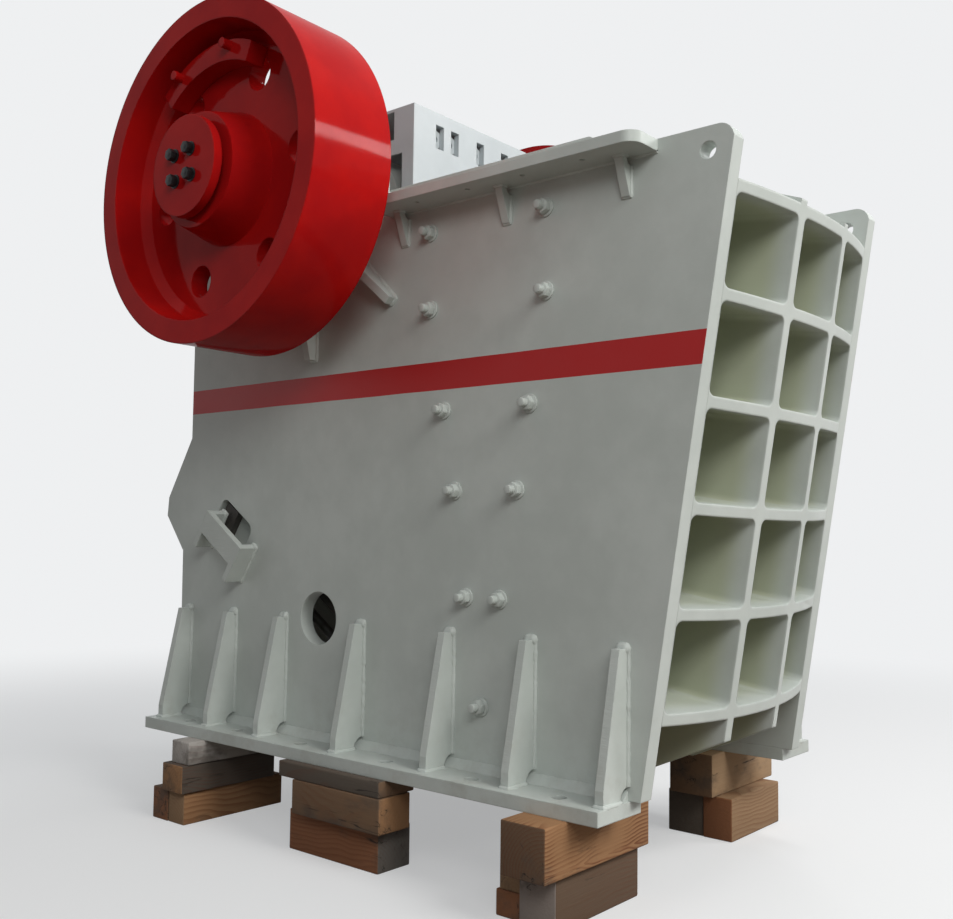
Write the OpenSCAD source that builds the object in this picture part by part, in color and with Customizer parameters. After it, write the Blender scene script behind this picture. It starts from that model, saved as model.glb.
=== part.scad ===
// Single-toggle jaw crusher standing on timber blocks. Millimetres.
// X runs along the machine with the ribbed front wall at +X, and the
// flywheel is on the -Y side. Shapes are drawn with Z = 0 under the feet;
// placed() sets them on the timbers and centres the whole along X.

/* [Frame] */
// clear width between the two side plates
inner_width = 1250; // [1000:10:1500]
// thickness of a side plate
plate_t = 75; // [50:1:100]
// height of the side plates' flat top edge above the feet's underside
top_z = 2535; // [2300:5:2800]
// front edge of the side plates at the feet's underside
front_x = 1445; // [1300:5:1600]
// lean of the front edge from the vertical, degrees
lean = 9; // [5:0.5:15]
// upper rear edge of the side plates
rear_x = -1386; // [-1600:1:-1250]
// lower rear edge of the side plates
rear_low_x = -1430; // [-1600:1:-1250]
// radius of the side plates' top corners
corner_r = 60; // [20:5:120]
// lifting hole, distance behind the top front corner
lift_back = 113; // [80:1:160]
// lifting hole, distance below the top edge
lift_down = 90; // [70:1:140]
// diameter of the lifting hole
lift_d = 66; // [40:1:100]
// diameter of the round hole in a side plate
peep_d = 250; // [150:5:350]
// centre of the round hole, X
peep_x = -330; // [-500:5:-100]
// centre of the round hole above the feet's underside
peep_z = 620; // [500:5:800]

/* [Feet] */
// thickness of a foot flange
foot_t = 55; // [30:1:90]
// reach of a foot flange beyond its side plate
foot_reach = 217; // [120:1:320]
// front end of the foot flanges
foot_front = 1410; // [1200:5:1600]
// rear end of the foot flanges
foot_rear = -1415; // [-1600:5:-1200]
// thickness of a foot gusset
gusset_t = 38; // [20:1:60]
// height of the foot gussets above the flange
gusset_h = 560; // [300:10:800]
// depth of a foot gusset at its base
gusset_base = 165; // [100:5:220]
// depth of a foot gusset at its top
gusset_top = 60; // [20:5:100]
// diameter of the holes in the foot flanges
foot_hole_d = 60; // [30:1:80]

/* [Top ledge] */
// thickness of the ledge beside the feed opening
ledge_t = 45; // [20:1:70]
// top of the ledge below the side plates' top edge
ledge_drop = 5; // [0:1:60]
// reach of the ledge beyond its side plate
ledge_reach = 170; // [100:5:300]
// front end of the ledge
ledge_front = 1525; // [1200:5:1600]
// rear end of the ledge
ledge_rear = 120; // [-100:5:400]
// depth of the ledge gussets below the ledge
ledge_gusset_h = 150; // [80:5:250]
// reach of a ledge gusset under the ledge
ledge_gusset_reach = 64; // [50:2:140]
// thickness of a ledge gusset
ledge_gusset_t = 38; // [20:1:60]
// diameter of the ledge holes
ledge_hole_d = 22; // [10:1:40]

/* [Front wall] */
// how far the ribs bow out in the middle
bow = 85; // [20:5:160]
// depth of the cells behind the front edge
cell_depth = 440; // [250:10:500]
// thickness of the wall behind the cells
wall_t = 90; // [50:5:150]
// thickness of the ribs
rib_t = 46; // [25:1:70]
// distance between the cross ribs
rib_pitch = 399; // [380:1:405]
// underside of the lowest cross rib along the front edge
rib_first = 332; // [250:1:360]
// corner radius of the cells
cell_r = 30; // [10:1:60]

/* [Chamber] */
// depth of a jaw plate's ridges
ridge_h = 40; // [20:1:60]
// distance between the ridges of a jaw plate
ridge_pitch = 120; // [80:5:180]
// thickness of a jaw plate under its ridges
jaw_t = 90; // [60:5:140]
// bottom of both jaw plates above the feet's underside
jaw_low_z = 225; // [150:5:300]
// top of the swing jaw above the feet's underside
swing_top_z = 2480; // [2200:10:2540]
// opening between the jaws at the bottom of the swing jaw
discharge = 100; // [60:5:200]
// slope of the swing jaw, X per Z
swing_slope = 0.23; // [0.15:0.01:0.3]
// thickness of a cheek plate
cheek_t = 40; // [20:1:60]
// top of the cheek plates above the feet's underside
cheek_top_z = 2650; // [2560:5:2750]
// gap between a cheek plate and the fixed jaw
cheek_gap = 5; // [2:1:20]

/* [Shaft and wheels] */
// shaft axis along the machine
shaft_x = -400; // [-600:5:-300]
// shaft axis above the feet's underside
shaft_z = 2630; // [2560:5:2800]
// radius of the shaft in the frame bearings
journal_r = 130; // [90:1:150]
// step from the journal down to the wheel seat
seat_step = 10; // [2:1:30]
// radius of the shaft inside the pitman
pitman_shaft_r = 165; // [152:1:200]
// radial clearance of the shaft in a running bore
run_gap = 0.05; // [0.02:0.01:0.09]
// outer radius of a bearing housing
housing_r = 300; // [220:5:340]
// outer face of a bearing housing from the centre plane
housing_out = 900; // [820:5:940]
// half length of a bearing housing's lugs
lug_half = 430; // [350:5:500]
// height of a bearing housing's lugs
lug_t = 75; // [40:5:120]
// outer radius of the wheels
wheel_r = 775; // [600:5:900]
// thickness of the wheels' rim
rim_t = 105; // [60:5:160]
// width of the wheels' rim
wheel_w = 430; // [300:5:500]
// outer face of the wheels' rim from the centre plane
wheel_face = 1400; // [1300:5:1600]
// depth of the wheels' web behind the rim's outer face
web_in_by = 170; // [100:5:220]
// thickness of the wheels' web
web_t = 90; // [50:5:130]
// diameter of the holes in the wheels' web
web_hole_d = 150; // [80:5:200]
// radius of the circle the web holes lie on
web_hole_r = 485; // [430:5:520]
// radius of the hub where it leaves the web
hub_r = 305; // [270:5:340]
// radius of the hub at its outer face
hub_nose_r = 258; // [240:2:268]
// hub's outer face beyond the rim's outer face
hub_out = 10; // [0:5:60]
// radius of the shaft end cap
cap_r = 225; // [160:5:250]
// thickness of the shaft end cap
cap_t = 42; // [20:1:80]
// gap between the hub and the shaft end cap
cap_gap = 28; // [10:1:60]
// inner radius of the counterweight
weight_in_r = 512; // [450:2:560]
// outer radius of the counterweight
weight_out_r = 604; // [580:2:606]
// thickness of the counterweight
weight_t = 95; // [40:5:140]

/* [Guard over the pitman] */
// front face of the guard
guard_x = 57; // [30:1:90]
// rear face of the guard
guard_rear = -857; // [-950:1:-780]
// half width of the guard
guard_w = 500; // [490:5:600]
// top of the guard above the feet's underside
guard_top = 3110; // [3000:5:3300]
// thickness of the guard's front plate
guard_t = 30; // [10:1:40]
// thickness of the guard's other walls
guard_skin = 12; // [5:1:20]
// height of the guard's windows
window_h = 118; // [80:2:140]
// width of the guard's windows
window_w = 58; // [40:2:80]

/* [Pitman] */
// radius of the barrel round the shaft
barrel_r = 330; // [280:5:350]
// half length of the barrel
barrel_w = 470; // [400:5:480]
// thickness of the pitman's front plate
pitman_t = 90; // [50:5:120]
// thickness of the pitman's upright webs
pitman_web_t = 60; // [30:5:90]

/* [Rear wall] */
// rear face of the wall between the side plates
rear_wall_x = -1400; // [-1410:1:-1380]
// thickness of the rear wall
rear_wall_t = 40; // [20:1:60]
// width of the rear wall's openings for the tension rods
rod_way_w = 200; // [190:5:240]
// bottom of those openings above the feet's underside
rod_way_z = 860; // [780:5:870]

/* [Toggle gear] */
// centre of the adjuster slot, X
toggle_x = -1020; // [-1060:5:-980]
// centre of the adjuster slot above the feet's underside
toggle_z = 1040; // [1000:5:1080]
// slope of the toggle, degrees down to the front
toggle_deg = 34; // [30:1:38]
// length of the adjuster slot
slot_l = 290; // [270:5:320]
// width of the adjuster slot
slot_w = 210; // [190:5:240]
// front face of the toggle seat from the slot's centre
seat_face = 125; // [110:1:150]
// thickness of the toggle seat along the toggle
seat_t = 163; // [120:1:170]
// length of the toggle plate
toggle_len = 1170; // [1100:5:1200]
// radius of the toggle plate's rounded ends
toggle_end_r = 45; // [35:1:60]
// thickness of the toggle plate
toggle_t = 64; // [40:2:70]
// height of the adjusting wedges
wedge_h = 150; // [120:5:160]
// distance of a bracket's outer face from the side plate
bracket_out = 105; // [80:1:140]
// thickness of a bracket's cheeks and cover
bracket_t = 34; // [20:1:45]
// length of a bracket's cover
bracket_l = 344; // [300:2:400]
// radius of a tension rod
rod_r = 25; // [15:1:30]
// radius of a tension spring
spring_r = 58; // [50:1:60]

/* [Timbers] */
// height of the timber stacks
stand_h = 400; // [360:5:450]
// height of the lowest rear timbers
rear_low_h = 155; // [120:5:180]
// height of the middle layer of the rear stacks
rear_mid_h = 135; // [100:5:170]
// height of the lowest middle timbers
mid_low_h = 180; // [140:5:200]
// height of the second layer of the middle stacks
mid_mid_h = 150; // [100:5:155]
// height of the lower front timbers
front_low_h = 200; // [150:5:230]

/* [Hidden] */
wi = inner_width / 2;
wo = wi + plate_t;
lt = tan(lean);
lc = cos(lean);
mid_x = 152.5;
seam = 0.3;
between = inner_width - 2 * seam;
top_front_x = fx(top_z);
lift_x = top_front_x - lift_back;
lift_z = top_z - lift_down;
bow_r = (wi * wi + bow * bow) / (2 * bow);
wall_in = cell_depth + wall_t;
rib_top = rib_first + rib_t + 5 * rib_pitch;
wall_skin = 4;
cell_w = (inner_width - 2 * wall_skin - 2 * rib_t) / 3;
jaw_offset = (wall_in + jaw_t + ridge_h) / lc;
cheek_in = wi - cheek_t;
swing_deg = atan(swing_slope);
swing_low_x = fx(jaw_low_z) - jaw_offset - discharge;
swing_back = jaw_t + ridge_h;
swing_len = (swing_top_z - jaw_low_z) / cos(swing_deg);
swing_w = 2 * cheek_in - 20;
clamp_h = 95;
flange_z = jaw_low_z + (swing_len + clamp_h) * cos(swing_deg) + 30;
flange_t = 30;
rim_r = wheel_r - rim_t;
wheel_in = wheel_face - wheel_w;
web_out = wheel_face - web_in_by;
web_in = web_out - web_t;
seat_r = journal_r - seat_step;
hub_face = wheel_face + hub_out;
hub_back = housing_out + 30;
cap_in = hub_face + cap_gap;
pit_face = seat_face + toggle_len + 2 * seam;
beam_back = -565;
beam_face = -140;
beam_low = -170;
beam_high = 195;
rod_z = beam_low - spring_r - 12;
rod_y = 330;
lug_x = -230;
rod_end = -535;
tc = cos(toggle_deg);
ts = sin(toggle_deg);
gusset_front = [-1340, -955, -557, -13, 533, 965, 1400];
foot_hole_x = [-1147, -756, -285, 270, 750, 1180];
foot_hole_y = wo + 130;
window_y = [-312, -200, 0, 200, 312];
steel = [0.80, 0.82, 0.78];
red = [0.72, 0.10, 0.08];
iron = [0.35, 0.35, 0.36];
wood = [0.62, 0.46, 0.30];

// X of the side plates' front edge at a height
function fx(z) = front_x + z * lt;
// X of the swing jaw's crests at a height
function sx(z) = swing_low_x - (z - jaw_low_z) * swing_slope;

module placed() { translate([-mid_x, 0, stand_h]) children(); }

// a shape drawn in X and Z, given a span in Y
module xz(y0, y1) {
  translate([0, y1, 0]) rotate([90, 0, 0]) linear_extrude(height = y1 - y0) children();
}

// both sides of the machine
module both() {
  children();
  mirror([0, 1, 0]) children();
}
module far() { mirror([0, 1, 0]) children(); }

// the leaning plane of the front edge, local Z runs up along the edge
module front_plane() { translate([front_x, 0, 0]) rotate([0, lean, 0]) children(); }

// the toggle's plane, local X runs down to the front along the toggle
module toggle_plane() {
  translate([toggle_x, 0, toggle_z]) rotate([0, toggle_deg, 0]) children();
}

// the swing jaw's plane at the crests, local Z runs up along the jaw
module swing_plane() {
  translate([swing_low_x, 0, jaw_low_z]) rotate([0, -swing_deg, 0]) children();
}

// the shaft axis, local Z points out to the -Y side
module on_shaft() { translate([shaft_x, 0, shaft_z]) rotate([90, 0, 0]) children(); }

module rounded(w, h, r) {
  translate([r, 0]) square([w - 2 * r, h]);
  translate([0, r]) square([w, h - 2 * r]);
  for (x = [r, w - r]) for (y = [r, h - r]) translate([x, y]) circle(r = r, $fn = 32);
}

// outline of a side plate, corners still square
module plate_outline() {
  polygon([[rear_low_x, foot_t], [fx(foot_t), foot_t], [top_front_x, top_z],
    [shaft_x + lug_half + 110, top_z], [shaft_x + lug_half + 30, shaft_z],
    [shaft_x - lug_half - 30, shaft_z], [shaft_x - lug_half - 110, top_z], [rear_x, top_z],
    [rear_x, toggle_z + 490], [toggle_x - 565, toggle_z + 170],
    [toggle_x - 575, toggle_z + 70], [rear_low_x - 10, toggle_z - 120]]);
}

module side_plate() {
  cx = top_front_x - corner_r / tan((90 - lean) / 2);
  xz(-wo, -wi) difference() {
    plate_outline();
    // front top corner
    difference() {
      translate([cx, top_z - corner_r]) square([corner_r * 1.6, corner_r + 2]);
      translate([cx, top_z - corner_r]) circle(r = corner_r, $fn = 64);
      translate([cx, top_z - corner_r]) rotate([0, 0, -lean - 60]) square([corner_r, corner_r]);
    }
    // rear top corner
    difference() {
      translate([rear_x - 2, top_z - corner_r]) square([corner_r + 2, corner_r + 2]);
      translate([rear_x + corner_r, top_z - corner_r]) circle(r = corner_r, $fn = 64);
    }
    // bearing seat
    translate([shaft_x, shaft_z]) circle(r = housing_r, $fn = 96);
    // lifting hole
    translate([lift_x, lift_z]) circle(d = lift_d, $fn = 48);
    // round hole beside the toggle
    translate([peep_x, peep_z]) circle(d = peep_d, $fn = 64);
    // adjuster slot
    translate([toggle_x, toggle_z]) rotate([0, 0, -toggle_deg])
      translate([-slot_l / 2, -slot_w / 2]) rounded(slot_l, slot_w, 45);
  }
}
module near_side_plate() { color(steel) placed() side_plate(); }
module far_side_plate() { color(steel) placed() far() side_plate(); }

// what is cut off the lower and upper ends of the upright ribs
module rib_foot() {
  x = fx(98) - 186;
  polygon([[x - 172, 20], [x + 353, 258], [x + 500, 258], [x + 500, 20]]);
}
module rib_head() {
  x = fx(rib_top * lc) + 84;
  z = rib_top * lc + 3;
  polygon([[x + 30, z - 11], [x - 138, z + 53], [x - 440, z + 53], [x - 495, z + 190],
    [x - 495, z + 600], [x + 30, z + 600]]);
}

module front_wall() {
  cell_h = rib_pitch - rib_t;
  color(steel) placed() difference() {
    front_plane() difference() {
      // bowed block with all the ribs
      intersection() {
        translate([-wall_in, -wi, -60]) cube([wall_in + bow + 10, inner_width, 3000]);
        translate([bow - bow_r, 0, -100]) cylinder(r = bow_r, h = 3200, $fn = 360);
      }
      for (i = [0:2]) {
        y = -wi + wall_skin + i * (cell_w + rib_t);
        // cells
        for (k = [0:4]) translate([-cell_depth, y, rib_first + rib_t + k * rib_pitch])
          rotate([90, 0, 90]) linear_extrude(height = cell_depth + bow + 50)
            rounded(cell_w, cell_h, cell_r);
        // open bays under the lowest and over the highest cross rib
        y0 = i == 0 ? y - 30 : y;
        w = i == 1 ? cell_w : cell_w + 30;
        translate([-cell_depth, y0, -200]) cube([cell_depth + bow + 50, w, 200 + rib_first]);
        translate([-cell_depth, y0, rib_top]) cube([cell_depth + bow + 50, w, 900]);
      }
    }
    for (i = [0, 1]) {
      y = -wi + wall_skin + cell_w + i * (cell_w + rib_t);
      xz(y - 10, y + rib_t + 10) rib_foot();
      xz(y - 10, y + rib_t + 10) rib_head();
    }
    translate([0, -wi - 10, -200]) cube([2500, inner_width + 20, 200 + foot_t]);
    translate([0, -wi - 10, top_z - ledge_drop]) cube([2500, inner_width + 20, 900]);
  }
}

module rear_beam() {
  color(steel) placed() {
    toggle_plane() rotate([90, 0, 0]) translate([0, 0, -between / 2])
      linear_extrude(height = between) difference() {
        translate([beam_back, beam_low]) square([beam_face - beam_back, beam_high - beam_low]);
        translate([beam_back + 50, beam_low + 50])
          square([beam_face - beam_back - 130, beam_high - beam_low - 100]);
      }
    // lugs that the tension rods pull on
    toggle_plane() for (y = [-rod_y, rod_y]) difference() {
      translate([lug_x, y - 90, rod_z - 80]) cube([40, 180, beam_low - rod_z + 85]);
      translate([lug_x - 5, y, rod_z]) rotate([0, 90, 0]) cylinder(r = rod_r + 0.2, h = 50, $fn = 48);
    }
  }
}

// height of the rear beam's underside over a place along X
function beam_under(x) = toggle_z - (x - toggle_x - beam_low * ts) * ts / tc + beam_low * tc;

module rear_wall() {
  x0 = rear_wall_x;
  x1 = rear_wall_x + rear_wall_t;
  color(steel) placed() difference() {
    xz(-between / 2, between / 2) polygon([[x0, foot_t], [x1, foot_t],
      [x1, beam_under(x1) - seam], [x0, beam_under(x0) - seam]]);
    for (y = [-rod_y, rod_y]) translate([x0 - 5, y - rod_way_w / 2, rod_way_z])
      cube([rear_wall_t + 10, rod_way_w, 400]);
  }
}

module foot_flange() {
  difference() {
    translate([foot_rear, -wo - foot_reach, 0])
      cube([foot_front - foot_rear, plate_t + foot_reach, foot_t]);
    for (x = foot_hole_x) translate([x, -foot_hole_y, -5])
      cylinder(d = foot_hole_d, h = foot_t + 10, $fn = 48);
  }
}
module near_foot_flange() { color(steel) placed() foot_flange(); }
module far_foot_flange() { color(steel) placed() far() foot_flange(); }

// a foot gusset with a weld relief at its inner foot
module foot_gusset(x) {
  translate([x, -wo, foot_t]) rotate([90, 0, -90]) linear_extrude(height = gusset_t)
    difference() {
      polygon([[0, 0], [gusset_base, 0], [gusset_base, 60], [gusset_top, gusset_h],
        [0, gusset_h]]);
      circle(r = 52, $fn = 48);
    }
}
module foot_gussets() { for (x = gusset_front) foot_gusset(x); }
module near_foot_gussets() { color(steel) placed() foot_gussets(); }
module far_foot_gussets() { color(steel) placed() far() foot_gussets(); }

module top_ledge() {
  r = 60;
  len = ledge_front - ledge_rear;
  difference() {
    translate([ledge_rear, -wo - ledge_reach, top_z - ledge_drop - ledge_t])
      linear_extrude(height = ledge_t) {
        square([len - r, ledge_reach]);
        translate([0, r]) square([len, ledge_reach - r]);
        translate([len - r, r]) circle(r = r, $fn = 64);
      }
    for (i = [0:3]) translate([ledge_front - 277 - 293 * i, -wo - 100, top_z - 150])
      cylinder(d = ledge_hole_d, h = 200, $fn = 32);
  }
}
module near_top_ledge() { color(steel) placed() top_ledge(); }
module far_top_ledge() { color(steel) placed() far() top_ledge(); }

module ledge_gussets() {
  for (i = [0:2])
    translate([ledge_front - 118 - 588 * i, -wo, top_z - ledge_drop - ledge_t])
      rotate([90, 0, -90]) linear_extrude(height = ledge_gusset_t) difference() {
        polygon([[0, 0], [ledge_gusset_reach, 0], [ledge_gusset_reach, -12],
          [12, -ledge_gusset_h], [0, -ledge_gusset_h]]);
        circle(r = 32, $fn = 32);
      }
}
module near_ledge_gussets() { color(steel) placed() ledge_gussets(); }
module far_ledge_gussets() { color(steel) placed() far() ledge_gussets(); }

module bearing_housing() {
  on_shaft() difference() {
    union() {
      translate([0, 0, wi - 20]) cylinder(r = housing_r, h = housing_out - wi + 20, $fn = 96);
      translate([-lug_half, 0, wi + 5]) cube([2 * lug_half, lug_t, 130]);
    }
    translate([0, 0, 500]) cylinder(r = journal_r + run_gap, h = 500, $fn = 96);
  }
}
module near_bearing_housing() { color(steel) placed() bearing_housing(); }
module far_bearing_housing() { color(steel) placed() far() bearing_housing(); }

// half ring under the housing with three ribs fanning out on the plate
module bearing_ribs() {
  ring = 45;
  on_shaft() {
    translate([0, 0, wo]) linear_extrude(height = 150) difference() {
      circle(r = housing_r + ring, $fn = 96);
      circle(r = housing_r, $fn = 96);
      translate([-400, 0]) square([800, 400]);
    }
    for (a = [-45, -90, -135]) rotate([0, 0, a]) translate([0, 20, wo])
      rotate([90, 0, 0]) linear_extrude(height = 40)
        polygon([[housing_r + ring - 15, 0], [765, 0], [765, 45], [housing_r + ring - 15, 150]]);
  }
}
module near_bearing_ribs() { color(steel) placed() bearing_ribs(); }
module far_bearing_ribs() { color(steel) placed() far() bearing_ribs(); }

// ridged section of a jaw plate, ridges along the plate
module jaw_section(w) {
  n = floor(w / ridge_pitch);
  m = (w - n * ridge_pitch) / 2;
  polygon(concat([[-w / 2, 0], [-w / 2, jaw_t]],
    [for (i = [0:n - 1]) each [[-w / 2 + m + i * ridge_pitch + 1, jaw_t],
      [-w / 2 + m + (i + 0.32) * ridge_pitch, jaw_t + ridge_h],
      [-w / 2 + m + (i + 0.68) * ridge_pitch, jaw_t + ridge_h]]],
    [[w / 2 - m - 1, jaw_t], [w / 2, jaw_t], [w / 2, 0]]));
}

module fixed_jaw_plate() {
  w = inner_width - 10;
  color(iron) placed() intersection() {
    front_plane() translate([-wall_in, 0, -200]) rotate([0, 0, 90])
      linear_extrude(height = 3200) jaw_section(w);
    translate([0, -wi, jaw_low_z]) cube([2500, inner_width, top_z - 30 - jaw_low_z]);
  }
}

// one length of cheek plate between the jaws
module cheek(z0, z1) {
  polygon([[sx(z0) - 130, z0], [fx(z0) - jaw_offset - cheek_gap, z0],
    [fx(z1) - jaw_offset - cheek_gap, z1], [sx(z1) - 130, z1]]);
}
module cheek_plates() {
  r = 40;
  x = fx(cheek_top_z) - jaw_offset - cheek_gap;
  xz(-wi, -cheek_in) {
    cheek(jaw_low_z, 1000);
    cheek(1008, 1790);
    difference() {
      cheek(1798, cheek_top_z);
      difference() {
        translate([x - r, cheek_top_z - r]) square([2 * r, r + 1]);
        translate([x - r, cheek_top_z - r]) circle(r = r, $fn = 48);
      }
    }
  }
}
module near_cheek_plates() { color(iron) placed() cheek_plates(); }
module far_cheek_plates() { color(iron) placed() far() cheek_plates(); }

module swing_jaw_plate() {
  color(iron) placed() swing_plane() translate([-swing_back, 0, 0]) rotate([0, 0, 90])
    mirror([0, 1, 0]) linear_extrude(height = swing_len) jaw_section(swing_w);
}

module jaw_clamp_bar() {
  color(iron) placed() swing_plane() translate([-swing_back + seam, -swing_w / 2, swing_len + seam])
    cube([95, swing_w, clamp_h]);
}

module pitman_web() {
  x = toggle_x + (pit_face - 5) * tc;
  z = toggle_z - (pit_face - 5) * ts;
  polygon([[sx(240) - 200, 240], [sx(swing_top_z - 130) - 180, swing_top_z - 130],
    [shaft_x + 200, shaft_z - 240], [shaft_x - 100, shaft_z - 290],
    [x + 60, z + 130], [x + 40, z - 40]]);
}
module pitman() {
  flange_back = guard_x - 117;
  lip_h = 120;
  lip_front = sx(flange_z - lip_h) - 160;
  color(steel) placed() difference() {
    union() {
      // front plate behind the swing jaw, the flange the guard stands on and the lip under it
      swing_plane() translate([-swing_back - pitman_t, -swing_w / 2, 0])
        cube([pitman_t, swing_w, swing_len + clamp_h + 20]);
      translate([flange_back, -swing_w / 2, flange_z]) cube([160, swing_w, flange_t]);
      translate([flange_back, -swing_w / 2, flange_z - lip_h])
        cube([lip_front - flange_back, swing_w, lip_h + 10]);
      // barrel round the shaft
      on_shaft() translate([0, 0, -barrel_w]) cylinder(r = barrel_r, h = 2 * barrel_w, $fn = 96);
      // upright webs
      for (y = [-0.5, -0.18, 0.18, 0.5]) {
        y0 = y * (swing_w - pitman_web_t) - pitman_web_t / 2;
        xz(y0, y0 + pitman_web_t) pitman_web();
      }
      // toggle seat block
      toggle_plane() translate([pit_face, -swing_w / 2, -110]) cube([190, swing_w, 220]);
      // lugs that the tension rods hook into
      toggle_plane() for (y = [-rod_y, rod_y])
        translate([pit_face + 30, y - 60, rod_z - 60]) cube([90, 120, -rod_z]);
    }
    on_shaft() translate([0, 0, -600]) cylinder(r = pitman_shaft_r + run_gap, h = 1200, $fn = 96);
  }
}

module pitman_guard() {
  bottom = flange_z + flange_t;
  side_z = guard_top - 230;
  color(steel) placed() union() {
    // front plate with its windows
    difference() {
      translate([guard_x - guard_t, -guard_w, bottom])
        cube([guard_t, 2 * guard_w, guard_top - bottom]);
      for (y = window_y) translate([guard_x - guard_t - 5, y - window_w / 2, guard_top - 62 - window_h])
        cube([guard_t + 10, window_w, window_h]);
    }
    // side walls with the shaft cut-out and a hand hole
    both() difference() {
      translate([guard_rear, -guard_w, bottom])
        cube([guard_x - guard_rear - 5, guard_skin, guard_top - bottom]);
      translate([guard_rear + 77, -guard_w - 5, bottom - 5])
        cube([guard_x - 77 - guard_rear - 77, 30, side_z - bottom + 5]);
      translate([guard_rear + 137, -guard_w - 5, guard_top - 155]) cube([643, 30, 140]);
    }
    // rear plate and cover
    translate([guard_rear, -guard_w, bottom]) cube([guard_skin, 2 * guard_w, guard_top - bottom]);
    translate([guard_rear, -guard_w, guard_top - guard_skin])
      cube([guard_x - guard_rear - 5, 2 * guard_w, guard_skin]);
  }
}

// round bolt bosses behind the guard's windows
module guard_bosses() {
  z = guard_top - 62 - window_h / 2;
  color(steel) placed() for (y = window_y)
    translate([guard_x - guard_t - seam, y, z]) rotate([0, -90, 0]) difference() {
      cylinder(r = 46, h = 34, $fn = 48);
      translate([0, 0, -1]) cylinder(r = 15, h = 12, $fn = 32);
    }
}

module toggle_plate() {
  r = toggle_end_r;
  x = seat_face + seam;
  w = 2 * (wi - 145);
  color(iron) placed() toggle_plane() rotate([90, 0, 0]) translate([0, 0, -w / 2])
    linear_extrude(height = w) union() {
      translate([x + r, -toggle_t / 2]) square([toggle_len - 2 * r, toggle_t]);
      translate([x + r, 0]) circle(r = r, $fn = 48);
      translate([x + toggle_len - r, 0]) circle(r = r, $fn = 48);
    }
}

module toggle_seat() {
  color(steel) placed() toggle_plane()
    translate([seat_face - seat_t, -between / 2, -slot_w / 2 + 5])
      cube([seat_t, between, slot_w - 10]);
}

module adjusting_wedges() {
  x0 = beam_face;
  x1 = seat_face - seat_t;
  l = inner_width + 110;
  color(iron) placed() toggle_plane() translate([0, -l / 2, -wedge_h / 2])
    linear_extrude(height = wedge_h) {
      polygon([[x0, 15], [x0 + 62, 15], [x0 + 36, l - 15], [x0, l - 15]]);
      polygon([[x0 + 62 + seam, 15], [x1, 15], [x1, l - 15], [x0 + 36 + seam, l - 15]]);
    }
}

// two cheeks and a cover strip standing off the side plate at the slot
module wedge_bracket() {
  toggle_plane() translate([60, 0, -65]) {
    for (x = [-1, 1])
      translate([x * (bracket_l - bracket_t) / 2 - bracket_t / 2, -wo - bracket_out, -105])
        cube([bracket_t, bracket_out, 210]);
    translate([-bracket_l / 2 + 1, -wo - bracket_out, -15]) cube([bracket_l - 2, bracket_t, 120]);
  }
}
module near_wedge_bracket() { color(steel) placed() wedge_bracket(); }
module far_wedge_bracket() { color(steel) placed() far() wedge_bracket(); }

module tension_rods() {
  color(iron) placed() both() toggle_plane() translate([0, -rod_y, rod_z]) rotate([0, 90, 0]) {
    translate([0, 0, rod_end]) cylinder(r = rod_r, h = pit_face + 30 - rod_end, $fn = 32);
    translate([0, 0, rod_end + 50]) cylinder(r = spring_r, h = 20, $fn = 48);
    translate([0, 0, rod_end + 20]) cylinder(r = 42, h = 32, $fn = 6);
  }
}

module tension_springs() {
  x0 = rod_end + 70 + seam;
  h = lug_x - seam - x0;
  color(iron) placed() both() toggle_plane() translate([0, -rod_y, rod_z]) rotate([0, 90, 0])
    translate([0, 0, x0]) difference() {
      cylinder(r = spring_r - 3, h = h, $fn = 48);
      translate([0, 0, -1]) cylinder(r = spring_r - 21, h = h + 2, $fn = 48);
    }
}

module eccentric_shaft() {
  color(iron) placed() on_shaft() union() {
    translate([0, 0, -cap_in]) cylinder(r = seat_r, h = 2 * cap_in, $fn = 96);
    translate([0, 0, -hub_back]) cylinder(r = journal_r, h = 2 * hub_back, $fn = 96);
    translate([0, 0, -wi + 75]) cylinder(r = pitman_shaft_r, h = 2 * wi - 150, $fn = 96);
  }
}

// half section of a wheel, radius and distance from the centre plane
module wheel_section() {
  bore = seat_r + run_gap;
  polygon([[bore, hub_back], [hub_r - 40, hub_back], [hub_r - 10, web_in], [rim_r - 20, web_in],
    [rim_r, wheel_in], [wheel_r, wheel_in], [wheel_r, wheel_face], [rim_r, wheel_face],
    [rim_r - 12, web_out + 40], [rim_r - 50, web_out], [hub_r, web_out],
    [hub_nose_r, hub_face], [bore, hub_face]]);
}
module wheel_holes() {
  for (a = [6:60:306]) rotate([0, 0, a]) translate([web_hole_r, 0, web_in - 20])
    cylinder(d = web_hole_d, h = web_t + 40, $fn = 48);
}
module flywheel() {
  color(red) placed() on_shaft() difference() {
    rotate_extrude($fn = 144) wheel_section();
    wheel_holes();
  }
}
module drive_pulley() {
  n = floor((wheel_w - 60) / 37);
  color(red) placed() far() on_shaft() difference() {
    rotate_extrude($fn = 144) difference() {
      wheel_section();
      for (i = [0:n - 1])
        translate([wheel_r, (wheel_in + wheel_face) / 2 + 37 * (i - (n - 1) / 2)])
          polygon([[-28, -6], [1, -16], [1, 16], [-28, 6]]);
    }
    wheel_holes();
  }
}

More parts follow.
